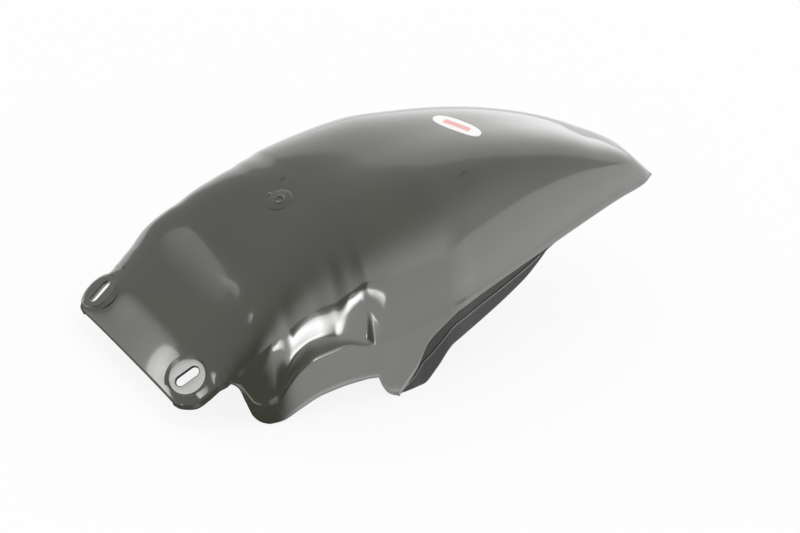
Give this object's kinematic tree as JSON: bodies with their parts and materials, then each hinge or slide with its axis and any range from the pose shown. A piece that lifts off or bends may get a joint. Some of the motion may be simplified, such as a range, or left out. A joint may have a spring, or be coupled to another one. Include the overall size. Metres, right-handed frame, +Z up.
{
  "type": "motorcycle rear fender",
  "caption": "Moulded plastic rear mudguard that hugs a motorcycle's rear tyre, with a flat slotted front flange, scooped side walls and a pointed tail.",
  "frame": {"origin": "centre of the bounding box's underside: the shell stands there on its two front lobes and on the lowest points of its two tucked-in side strips", "axes": "+X rearward to the tail, +Y to the rider's right, +Z up as the shell stands; the wheel's middle plane is y = 0 and the wheel's axle is parallel to Y at x = 0.0312, z = -0.1477"},
  "size_m": [0.524, 0.222, 0.1903],
  "materials": {
    "shell_plastic": "high gloss black, moulded in one piece"
  },
  "bodies": {
    "root": {"fender": "shell_plastic"}
  },
  "joints": []
}
